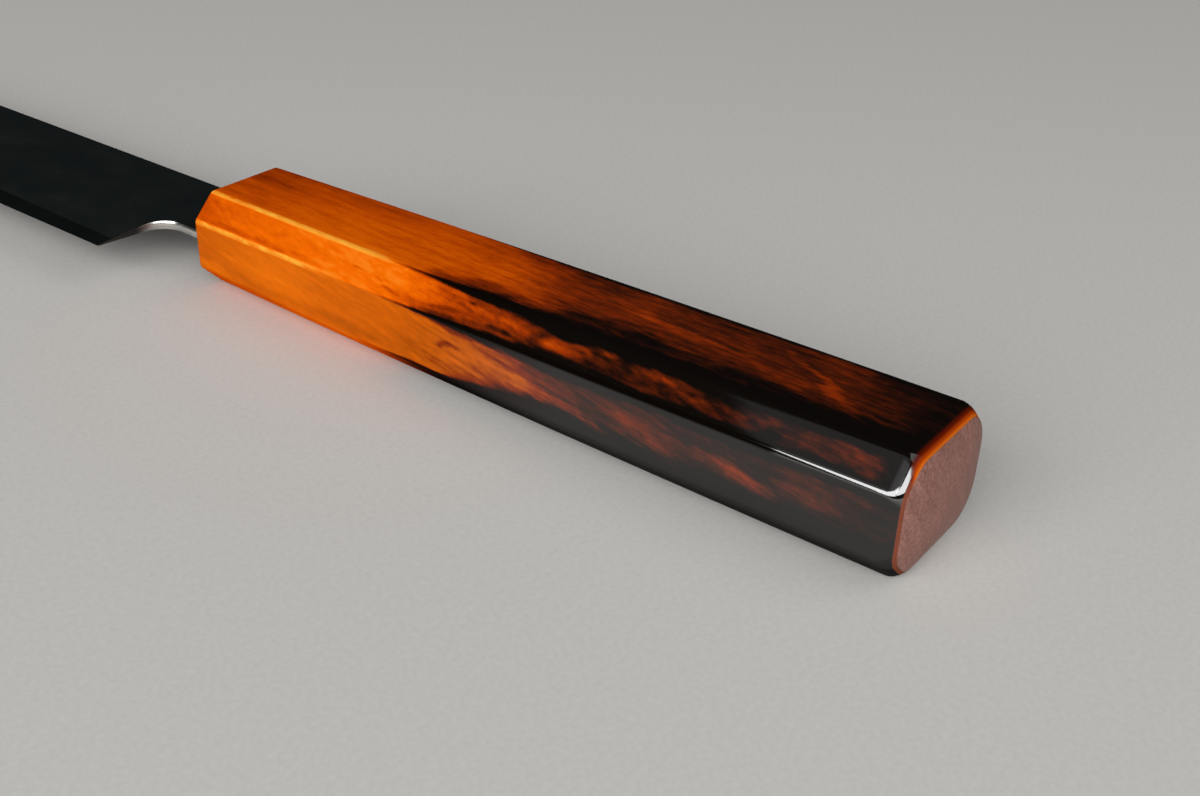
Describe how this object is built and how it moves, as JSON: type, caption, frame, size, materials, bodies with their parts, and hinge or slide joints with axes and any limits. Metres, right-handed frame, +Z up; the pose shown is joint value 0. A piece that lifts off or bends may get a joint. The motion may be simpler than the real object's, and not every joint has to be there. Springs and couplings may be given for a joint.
{
  "type": "petty knife",
  "caption": "Small kitchen knife with a thin black-finished layered blade on a hidden tang and an octagonal lacquered wooden handle, lying on its side.",
  "frame": {"origin": "under the middle of the bounding box, at the height of the handle's lowest point", "axes": "+X along the handle's axis towards the butt, +Y towards the spine, +Z up, square to the blade's left face"},
  "size_m": [0.2932, 0.0346, 0.0187],
  "materials": {
    "core_steel": "fine brushed, bare along the edge and at the choil",
    "black_cladding": "near-black satin",
    "handle_wood": "sanded end grain, satin",
    "lacquer": "clear gloss lacquer, amber-orange at the front to near black at the butt",
    "dowel_wood": "bare softwood",
    "tang_resin": "set resin",
    "mouth_seal": "dark set resin"
  },
  "bodies": {
    "root": {"blade_core": "core_steel", "left_cladding": "black_cladding", "right_cladding": "black_cladding", "handle_core": "handle_wood", "lacquer_coat": "lacquer", "tang_dowel": "dowel_wood", "tang_resin": "tang_resin", "mouth_seal": "mouth_seal"}
  },
  "joints": []
}
